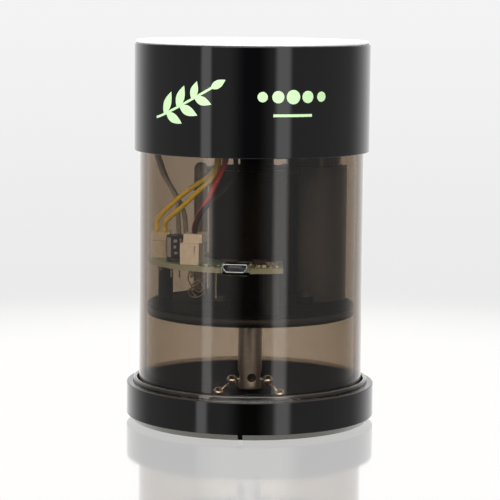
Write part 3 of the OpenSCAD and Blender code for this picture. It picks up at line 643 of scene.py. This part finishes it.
def header(name, top):
    """Open-topped pin header with one keying slit near the right end of its front."""
    body = box(name, (5.8, 7.5, top), (0, 0, top / 2), bevel=0.2)
    return cut(body, box("well", (4.4, 6.1, top), (0, 0, top / 2 + 1)),
               box("slit", (0.4, 1.6, 2.4), (1.6, -3.75, top - 1.9)))


def plug(name, low, top, shift=0.0):
    """Crimp plug seated in the header, with a wider collar."""
    body = box(name, (4.3, 6.0, low), (0, 0, low / 2 + 1.1), bevel=0.12)
    collar = box("collar", (5.8, 7.5, top - low - 0.1), (shift, shift / 2, (top + low + 0.1) / 2), bevel=0.25)
    return join(name, [body, collar])


MOTOR_PLUG, MOTOR_TURN, SWITCH_PLUG = (-17.6, -20.6), -12, (-27.6, -4)
for obj, node in ((header("white_header", 6.4), "motor_header"),
                  (plug("white_plug", 6.4, 9.2, 0.9), "motor_plug")):
    place(on_board(obj, MOTOR_PLUG, MOTOR_TURN), "housing", LOOK("plug_white"), "plug_white", node)
for obj, node in ((header("cream_header", 5.2), "switch_header"),
                  (plug("cream_plug", 5.2, 7.8), "switch_plug")):
    place(on_board(obj, SWITCH_PLUG), "housing", LOOK("plug_cream"), "plug_cream", node)

# ---------------------------------------------------------- capacitor

can = lathe("capacitor", [(0, BOARD_TOP, 0), (2.8, BOARD_TOP, 0.2), (2.8, 51.2, 0.2), (2.6, 51.5, 0.2),
                          (2.8, 51.8, 0.2), (2.8, 58.5, 0.45), (2.1, 58.5, 0.1), (2.05, 58.35, 0.05),
                          (0, 58.35, 0)], steps=64, at=CAPACITOR)
place(can, "housing", LOOK("capacitor_sleeve"), "capacitor_sleeve", "capacitor")

wrap = []
for start, end, low, high in ((-150, -118, 52.0, 57.9), (-100, -78, 56.4, 57.3), (-100, -84, 54.6, 55.5),
                              (-96, -76, 52.9, 53.6), (-62, -48, 52.4, 57.6)):
    arc_points = [(2.82 * math.cos(math.radians(start + (end - start) * k / 12)),
                   2.82 * math.sin(math.radians(start + (end - start) * k / 12))) for k in range(13)]
    inner = [(x * 0.985, y * 0.985) for x, y in arc_points[::-1]]
    wrap.append(move(prism("wrap_mark", arc_points + inner, low, high), 0, (*CAPACITOR, 0)))
place(join("capacitor_marks", wrap), "housing", LOOK("print_grey"), "capacitor_sleeve")

# ------------------------------------------------- small board parts

chips = []
for at, turn, size in (((2.6, -21.5), 10, (4, 4, 1.4)), ((-6.5, -19.2), -8, (5, 2.4, 1.2)),
                       ((-20.5, 7.4), 20, (3, 4.4, 1.6))):
    body = box("chip", (size[0], size[1], size[2] - 0.15), (0, 0, size[2] / 2 + 0.07), bevel=0.12)
    cut(body, drill(0.25, (-size[0] / 2 + 0.6, -size[1] / 2 + 0.6, size[2] - 0.08), (0, 0, 1), 1, 20))
    chips.append(on_board(body, at, turn))
place(join("chips", chips), "housing", LOOK("chip_black"), "chip_black", "board_chips")

legs = []
for at, turn, size, count in (((2.6, -21.5), 10, (4, 4, 1.4), 4), ((-6.5, -19.2), -8, (5, 2.4, 1.2), 3)):
    for k in range(count):
        x = (k - (count - 1) / 2) * size[0] * 0.8 / count
        for side in (-1, 1):
            leg = box("leg", (0.32, 0.7, 0.12), (x, side * (size[1] / 2 + 0.25), 0.08), bevel=0.03)
            legs.append(on_board(leg, at, turn))
smalls = []
for p in ((2.2, -28.6), (6.9, -20.8), (-0.4, -25.4), (7.6, -29.4), (-13.4, -26.6)):
    smalls.append(on_board(box("small", (0.9, 0.95, 0.6), (0, 0, 0.32), bevel=0.06), p, 25))
    for side in (-1, 1):
        legs.append(on_board(box("end", (0.35, 1.0, 0.68), (side * 0.6, 0, 0.34), bevel=0.08), p, 25))
place(join("small_parts", smalls), "housing", LOOK("plug_cream"), "plug_cream")

lamp = [on_board(box("lamp", (1.1, 1.1, 0.85), (0, 0, 0.45), bevel=0.15), (3.9, -30), 8)]
place(join("lamp", lamp), "housing", LOOK("lamp_clear"), "lamp_clear", "charge_led")

SOLDER = [(-12.6, -28.6, 0.55), (-11.4, -27.6, 0.5), (-10.9, -29.3, 0.6), (0.6, -30.8, 0.55),
          (1.5, -29.8, 0.6), (5.2, -28.4, 0.5), (8.6, -27.5, 0.55), (7.4, -26.9, 0.5),
          (-9.6, -24.4, 0.5), (-7.8, -25.2, 0.5), (-25.2, -12, 0.5), (-28.2, -11, 0.5)]
for x, y, r in SOLDER:
    blob = ball("blob", r, (0, 0, 0))
    blob.data.transform(Matrix.Diagonal((1, 1, 0.7, 1)))
    legs.append(move(blob, 0, (x, y, BOARD_TOP)))
for at, turn in ((MOTOR_PLUG, MOTOR_TURN), (SWITCH_PLUG, 0)):
    for s in (-1.25, 1.25):
        pin = lathe("pin", [(0, -4.2, 0), (0.35, -4.2, 0.15), (0.35, -2.4, 0.1), (0.9, -1.6, 0.1),
                            (0, -1.6, 0)], 24, at=(0, s))
        legs.append(on_board(pin, at, turn))
for x, y, depth in ((-12.4, -22.6, 5), (-10.4, -21.4, 9), (-13.8, -19, 7)):
    legs.append(on_board(lathe("pin", [(0, -depth - 1.6, 0), (0.35, -depth - 1.6, 0.2), (0.35, -1.6, 0),
                                       (0, -1.6, 0)], 24), (x, y)))
for s in (-1.2, 1.2):
    foot = [Vector((CAPACITOR[0] + s, CAPACITOR[1], z)) for z in (50.1, 48.7, 46.8, 45.5)]
    legs.append(sweep("foot", foot, 0.3, 10))
place(join("solder", legs), "housing", LOOK("tab_nickel"), "tab_nickel", "solder_pins")

loops = [
    [(-18.2, -24.8, 48.9), (-18.6, -25.2, 46.3), (-17.0, -25.6, 43.7), (-15.2, -25.2, 42.5),
     (-14.2, -24.6, 43.9), (-15.4, -24.2, 45.9), (-17.2, -24.4, 44.9), (-17.6, -24.6, 42.9),
     (-16.2, -24.8, 41.1)],
    [(-15.4, -25.0, 48.9), (-14.6, -25.4, 46.7), (-16.2, -26.0, 44.7), (-18.4, -25.6, 43.1),
     (-18.0, -25.0, 41.3), (-15.8, -24.4, 40.9), (-14.0, -24.2, 42.3), (-13.6, -24.4, 45.1),
     (-13.4, -24.6, 48.9)]]
tails = [sweep("loop", spline(path, 8), 0.22, 8) for path in loops]
place(join("tinned_tails", tails), "housing", LOOK("tinned"), "tab_nickel")

# ------------------------------------------------------------- leads

YELLOW_A = [(-28.9, -3.7, 58.4), (-28.9, -3.7, 60.2), (-28.8, -4.2, 61.9), (-27, -5, 64.2), (-22.5, -7, 68.6),
            (-17.6, -9, 72.6), (-13.6, -10.6, 75.4), (-11, -11.2, 78.4), (-10.4, -10.6, 82),
            (-10.4, -8.6, 87),
            (-9.4, -3.6, 92.6), (-7, 1.2, 95), (-5.6, 2, 97.7)]
YELLOW_B = [(-26.4, -3.7, 58.4), (-26.4, -3.8, 60), (-26.1, -5.2, 61.3), (-24.5, -7, 63.2), (-21, -9.5, 66.4),
            (-17, -12.4, 70.6), (-13.4, -13.8, 74), (-11, -14.2, 77), (-9.9, -13.6, 80.4),
            (-9.6, -12.6, 84.6),
            (-8.2, -10.4, 89), (-6.6, -6, 94), (-5.6, -2.2, 97.7)]
RED = [(-17, -19.6, 59.8), (-17, -19.6, 61.4), (-16.5, -19.5, 63), (-14.9, -19.2, 66.3),
       (-12.4, -18.4, 70.8), (-10, -17.2, 75.8), (-8, -15.4, 80.3), (-7.2, -12, 83.8), (-7.8, -8, 84.8),
       (-8.3, -5.2, 82.8), (-8.3, -4.6, 77.8)]
BLACK = [(-16.8, -22.2, 59.8), (-16.8, -22.2, 61.3), (-16.4, -22, 62.8), (-15, -21.6, 65.8),
         (-12.2, -20.6, 68.8), (-8.4, -18.8, 72.2), (-5.6, -16.9, 75.8), (-4.8, -15.4, 79.3),
         (-5, -12.2, 82.4),
         (-5.5, -7, 83.4), (-5.6, -1, 83.2), (-6.6, 3.2, 82.2), (-8.3, 4.6, 80.2), (-8.3, 4.6, 77.8)]
GREY_A = [(-22.2, 1.5, 50.6), (-22.2, 2, 54.8), (-22.7, 3, 62.8), (-23.2, 4, 67.8), (-26, 4.6, 72.8),
          (-28, 5, 76.8), (-29.4, 6, 82.8), (-27, 12, 91), (-16, 19, 98), (0, 19, 102), (9, 15.4, 103.2),
          (14.4, 11.6, 102.7)]
GREY_B = [(-19.9, 1.5, 50.6), (-20, 2, 54.8), (-20.8, 4.4, 62.8), (-23.1, 6.4, 67.8), (-26, 7.3, 72.8),
          (-28, 8, 77.8), (-29.2, 9.2, 83.8), (-24, 17, 91), (-13, 23.4, 97), (0, 23.4, 100.4),
          (7, 20.8, 101.4), (10.8, 17.6, 100.8), (11.7, 16.3, 98.6)]


def lead(name, route):
    """Insulated lead along a smooth curve through the route."""
    return sweep(name, spline(route, 10), 0.75, 16)


place(join("yellow_leads", [lead("a", YELLOW_A), lead("b", YELLOW_B)]), "housing", LOOK("wire_yellow"),
      "wire_yellow", "yellow_wires")
place(lead("red_lead", RED), "housing", LOOK("wire_red"), "wire_red", "red_wire")
place(lead("black_lead", BLACK), "housing", LOOK("wire_black"), "wire_black", "black_wire")
place(join("grey_leads", [lead("a", GREY_A), lead("b", GREY_B)]), "housing", LOOK("wire_grey"), "wire_grey",
      "grey_wires")

# -------------------------------------------------- spindle and chain

spindle = lathe("spindle", [(0, 9.1, 0), (3.75, 9.1, 0.35), (3.75, 39.3, 0.3), (1.15, 39.3, 0.1),
                            (1.15, 26.8, 0), (0, 26.8, 0)], steps=96)
cut(spindle, drill(2, (-5, 0, CHAIN_Z), (1, 0, 0), 10), drill(1.4, (0, 0, CHAIN_Z), (*polar(1, -81), 0), 5),
    drill(0.8, (0, 0, 38.2), (0, -1, 0), 5))
add_bevel(spindle, 0.1)
place(spindle, "spindle", LOOK("spindle_metal"), "spindle_metal", "spindle")

core_ball = ball("core_ball", BALL_R, (0, 0, CHAIN_Z))
place(core_ball, "spindle", LOOK("chain_chrome"), "chain_chrome", "chain_core")


def arm_piece(name, side, fall, n):
    """One moving piece of the chain: the pin from the ball before it, and a ball with a pressed seam."""
    ways = [Vector((side * math.cos(math.radians(a)), 0, -math.sin(math.radians(a)))) for a in fall]
    start = Vector((0, 0, CHAIN_Z))
    for way in ways[:n]:
        start += way * PITCH
    along = ways[n]
    pin = sweep("pin", [start + along * d for d in (1.9, 2.1, 2.5, 3.2, 3.7, 4.2)],
                [0.5, 0.42, 0.38, 0.38, 0.42, 0.55], 16)
    one = ball("ball", BALL_R, (0, 0, 0), seam=True)
    turn = Vector((0, 0, 1)).rotation_difference(Vector((0, 1, 0))).to_matrix().to_4x4()
    one.data.transform(Matrix.Translation((start + along * PITCH) * MM) @ turn)
    return join(name, [pin, one])


for side, word, fall in ((-1, "left", (15, 42, 33, 0)), (1, "right", (15, 48, 28, 0))):
    for n, node in enumerate(("link_1", "link_2", "link_3", "tail")):
        body = f"{word}_{node}"
        place(arm_piece(f"{body}_ball", side, fall, n), body, LOOK("chain_chrome"), "chain_chrome", body)

# --------------------------------------------------------------- cap

band = lathe("band", [(34.9, 83.2, 0.15), (BAND_R, 83.2, 0.25), (BAND_R, 115.8, 0.35), (34.9, 115.8, 0)],
             steps=288)
place(band, "cap", LOOK("band_black"), "band_black", "cap_band")

disc = lathe("disc", [(0, 113.8, 0), (34.8, 113.8, 0.2), (34.8, 115.8, 0), (35.6, 115.8, 0.2),
                      (35.6, 116.8, 0.6), (0, 116.8, 0)], steps=256)
place(disc, "cap", LOOK("disc_white"), "disc_white", "cap_disc")

# ------------------------------------------------------------ springs

coils = []
turns, height = 3, 4.4
for angle in SPRING_ANGLES:
    path = []
    for i in range(turns * 28 + 1):
        f = i / (turns * 28)
        rise = 0.35 + f * (height - 0.7)
        a = 2 * math.pi * i / 28
        foot = Vector((*polar(24, angle), SPRING_FOOT))
        path.append(foot + Vector((2.6 * math.cos(a), 2.6 * math.sin(a), rise)))
    coils.append(sweep("coil", path, 0.3, 10))
springs = join("springs", coils)
place(springs, "housing", LOOK("screw_steel"), "screw_steel", "return_springs")
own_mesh(springs)

# ------------------------------------------- printed marks on the band

PRINT_LIFT = 0.02
PRINT_CELL = 0.8


def printed(name, outline):
    """Thin printed patch on the band. The outline is (distance round the band from the front, height)."""
    bm = bmesh.new()
    loop = [bm.verts.new((p[0], p[1], 0)) for p in outline]
    bmesh.ops.triangulate(bm, faces=[bm.faces.new(loop)])
    for _ in range(5):
        long = [e for e in bm.edges if e.calc_length() > PRINT_CELL]
        if not long:
            break
        bmesh.ops.subdivide_edges(bm, edges=long, cuts=1)
        bmesh.ops.triangulate(bm, faces=bm.faces[:])
    for v in bm.verts:
        around, height = v.co.x / BAND_R, v.co.y
        r = BAND_R + PRINT_LIFT
        v.co = Vector((r * math.sin(around), -r * math.cos(around), height)) * MM
    bmesh.ops.recalc_face_normals(bm, faces=bm.faces)
    mesh = bpy.data.meshes.new(name)
    bm.to_mesh(mesh)
    bm.free()
    for poly in mesh.polygons:
        if poly.normal.xy.dot(poly.center.xy) < 0:
            poly.flip()
    obj = bpy.data.objects.new(name, mesh)
    bpy.context.scene.collection.objects.link(obj)
    return finish_mesh(obj, 60)


def leaf(base, angle, length, width):
    """Pointed oval leaf from its base."""
    points = []
    for k in range(33):
        t = k / 32
        points.append((length * t, width / 2 * math.sin(math.pi * t ** 0.85)))
    points += [(x, -y) for x, y in points[-2:0:-1]]
    c, s = math.cos(math.radians(angle)), math.sin(math.radians(angle))
    return [(base[0] + x * c - y * s, base[1] + x * s + y * c) for x, y in points]


def stroke(path, width):
    """Outline of a line drawn along points with round ends."""
    left, right = [], []
    for i, p in enumerate(path):
        d = (Vector(path[min(i + 1, len(path) - 1)]) - Vector(path[max(i - 1, 0)])).normalized() * width / 2
        left.append((p[0] - d.y, p[1] + d.x))
        right.append((p[0] + d.y, p[1] - d.x))
    return left + right[::-1]


stem = [(-32.5 + 21.0 * t, 94.4 + 9.6 * t ** 1.25) for t in (k / 24 for k in range(25))]
marks = [printed("stem", stroke(stem, 0.7))]
LEAVES = [(4, 66, 7.4, 3.0), (5, -24, 6.8, 2.8), (10, 68, 7.0, 3.0), (11, -22, 6.8, 2.9),
          (16, 72, 5.6, 2.5), (17, -18, 5.8, 2.6), (23, 30, 5.2, 2.4)]
for along, turn, length, width in LEAVES:
    marks.append(printed("leaf", leaf(stem[along], turn, length, width)))
for k, radius in enumerate((1.5, 1.8, 2.1, 1.8, 1.5)):
    marks.append(printed("dot", circle(radius, (3.0 + 4.6 * k, 101.2), 40)))
under = [(6.2 + 12.0 * k / 20, 95.8) for k in range(21)]
marks.append(printed("underline", stroke(under, 0.8)))
mark_ink = surface("mark_ink", (0.45, 0.65, 0.36), 0.3, scale=900, vary=0.05, grain=4000, bump=0.05, coat=0.4)
place(join("band_marks", marks), "cap", mark_ink, "band_black")

# ---------------------------------- finish of the CAD nodes that stay

CARRIED = {
    "shaft_seal": "seal_rubber", "shaft_bush": "bush_bronze", "sleeve_screws": "grub_dark",
    "motor_can": "motor_steel", "motor_magnets": "magnet_dark", "motor_end_bell": "frame_black",
    "motor_terminals": "contact_brass", "motor_screws": "screw_steel", "motor_shaft": "screw_steel",
    "motor_armature": "motor_steel", "motor_windings": "winding_copper",
    "battery_tabs": "tab_nickel", "board_screws": "screw_steel",
    "switch_pedestal": "frame_black", "switch_body": "chip_black", "switch_terminals": "contact_brass",
    "switch_plunger": "plunger_red", "spring_deck": "frame_black", "deck_screws": "screw_steel",
    "cap_plate": "frame_black", "shaft_screw": "grub_dark", "chain_screw": "grub_dark",
}
for node, look in CARRIED.items():
    cad[node].data.materials.clear()
    cad[node].data.materials.append(LOOK(look))
    for poly in cad[node].data.polygons:
        poly.material_index = 0

# --------------------------------------------------------------- camera

cam_data = bpy.data.cameras.new("camera")
cam_data.lens = 158.1
cam_data.sensor_width = 36
cam_data.clip_start = 0.01
cam_data.clip_end = 20
camera = bpy.data.objects.new("camera", cam_data)
bpy.context.scene.collection.objects.link(camera)
bpy.context.scene.camera = camera
camera.location = (-0.0003, -0.673, 0.1332)
aim = Vector((0, math.cos(math.radians(6.86)), -math.sin(math.radians(6.86))))
camera.rotation_mode = "QUATERNION"
camera.rotation_quaternion = (aim.to_track_quat("-Z", "Y")
                              @ Matrix.Rotation(math.radians(0.5), 3, "Z").to_quaternion())

# --------------------------------------------------------------- studio

world = bpy.data.worlds.new("studio")
bpy.context.scene.world = world
world.use_nodes = True
wt = world.node_tree
wt.nodes.clear()
toward = add(wt, "ShaderNodeSeparateXYZ", {0: add(wt, "ShaderNodeTexCoord").outputs["Generated"]}).outputs


def blend_colour(tree, value, a, b):
    """Mix of two colours, each a value or a socket."""
    node = add(tree, "ShaderNodeMix", data_type="RGBA")
    for key, colour in (("A", a), ("B", b)):
        if isinstance(colour, bpy.types.NodeSocket):
            tree.links.new(colour, node.inputs[key])
        else:
            node.inputs[key].default_value = colour
    tree.links.new(value, node.inputs["Factor"])
    return node.outputs["Result"]


# Side round the object that a reflection looks towards, in degrees: 0 is the camera's side, + to the right
to_front = calc(wt, "MULTIPLY", toward["Y"], -1.0)
side = calc(wt, "MULTIPLY", calc(wt, "ARCTAN2", toward["X"], to_front), 180 / math.pi)
rise = calc(wt, "MULTIPLY", calc(wt, "ARCSINE", toward["Z"]), 180 / math.pi)
aside = calc(wt, "ABSOLUTE", side)


def soft_step(value, start, end):
    """0 before start and 1 after end, with soft shoulders."""
    return add(wt, "ShaderNodeMapRange", {"Value": value, "From Min": start, "From Max": end},
               interpolation_type="SMOOTHSTEP").outputs["Result"]


def grey(level):
    """Neutral light of a level."""
    return rgba(level, level, level)


def window(room, middle, half_width, edge):
    """The room with a tall soft window, its place and width in degrees round the object."""
    off = calc(wt, "ABSOLUTE", calc(wt, "SUBTRACT", side, middle))
    return blend_colour(wt, soft_step(off, half_width + edge, half_width), room, grey(2.0))


# A plain room, dark on the camera's side and pale behind the object, with a window on either side
room = blend_colour(wt, soft_step(aside, 5, 25), grey(0.03), grey(0.4))
room = window(room, -45, 3, 4)
room = window(room, 30, 4, 6)
room = blend_colour(wt, soft_step(aside, 105, 150), room, grey(1.2))
# A soft light just above the camera, too high for the upright walls to reflect
above = soft_step(rise, 4, 12)
before = soft_step(aside, 54, 27)
room = blend_colour(wt, calc(wt, "MULTIPLY", above, before), room, grey(5.0))
room = blend_colour(wt, soft_step(rise, 25, 50), room, grey(1.3))
studio = blend_colour(wt, soft_step(rise, -25, -45), room, grey(0.75))

# What the camera sees behind the object: a pale wall above, a pale table below
wall = blend_colour(wt, soft_step(rise, 0, -8), grey(0.9), grey(0.83))
seen = blend_colour(wt, soft_step(rise, -8.2, -8.5), wall, grey(0.85))
camera_ray = add(wt, "ShaderNodeLightPath").outputs["Is Camera Ray"]
shown = add(wt, "ShaderNodeBackground", {"Color": seen, "Strength": 1.0})
lit = add(wt, "ShaderNodeBackground", {"Color": studio, "Strength": 1.0})
either = add(wt, "ShaderNodeMixShader", {0: camera_ray, 1: lit.outputs[0], 2: shown.outputs[0]})
add(wt, "ShaderNodeOutputWorld", {"Surface": either.outputs[0]})

# Glossy table top: only the camera sees it, and it thins out to nothing with distance
mat, tree, bsdf, out = new_tree("table_top")
tree.nodes.remove(bsdf)
place_at = add(tree, "ShaderNodeTexCoord").outputs["Object"]
far = add(tree, "ShaderNodeVectorMath", {0: place_at}, operation="LENGTH").outputs["Value"]
fade = add(tree, "ShaderNodeMapRange", {"Value": far, "From Min": 0.15, "From Max": 0.3, "To Min": 0.42,
                                           "To Max": 0.0}, interpolation_type="SMOOTHSTEP").outputs["Result"]
beneath = add(tree, "ShaderNodeNewGeometry").outputs["Backfacing"]
fade = calc(tree, "MULTIPLY", fade, calc(tree, "SUBTRACT", 1.0, beneath))
clear = add(tree, "ShaderNodeBsdfTransparent", {"Color": rgba(1, 1, 1)})
mirror = add(tree, "ShaderNodeBsdfGlossy", {"Color": rgba(1.0, 0.99, 0.97), "Roughness": 0.07})
mixed = add(tree, "ShaderNodeMixShader", {0: fade, 1: clear.outputs[0], 2: mirror.outputs[0]})
tree.links.new(mixed.outputs[0], out.inputs["Surface"])
table = prism("table", circle(310, steps=128), -1.0, 0.0)
table.data.materials.append(mat)
table.visible_diffuse = table.visible_glossy = table.visible_transmission = table.visible_shadow = False
table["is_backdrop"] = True


def lamp_at(name, location, target, size, power):
    """Soft lamp that lights rough surfaces and leaves no shape of its own in the gloss."""
    data = bpy.data.lights.new(name, "AREA")
    data.shape = "RECTANGLE"
    data.size, data.size_y = size
    data.energy = power
    obj = bpy.data.objects.new(name, data)
    bpy.context.scene.collection.objects.link(obj)
    obj.location = location
    obj.rotation_mode = "QUATERNION"
    obj.rotation_quaternion = (Vector(target) - Vector(location)).to_track_quat("-Z", "Y")
    obj.visible_glossy = False
    obj.visible_camera = False
    obj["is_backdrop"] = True
    return obj


lamp_at("top_softbox", (-0.1, 0.25, 0.75), (0, 0, 0.08), (0.6, 0.5), 6.0)
lamp_at("front_fill", (-0.5, -0.6, 0.45), (0, 0, 0.06), (0.4, 0.4), 3.0)

scene = bpy.context.scene
scene.view_settings.view_transform = "Standard"
scene.view_settings.look = "None"
scene.cycles.max_bounces = 16
scene.cycles.transparent_max_bounces = 48
scene.cycles.glossy_bounces = 8
scene.cycles.caustics_reflective = False
scene.cycles.caustics_refractive = False

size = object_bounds()
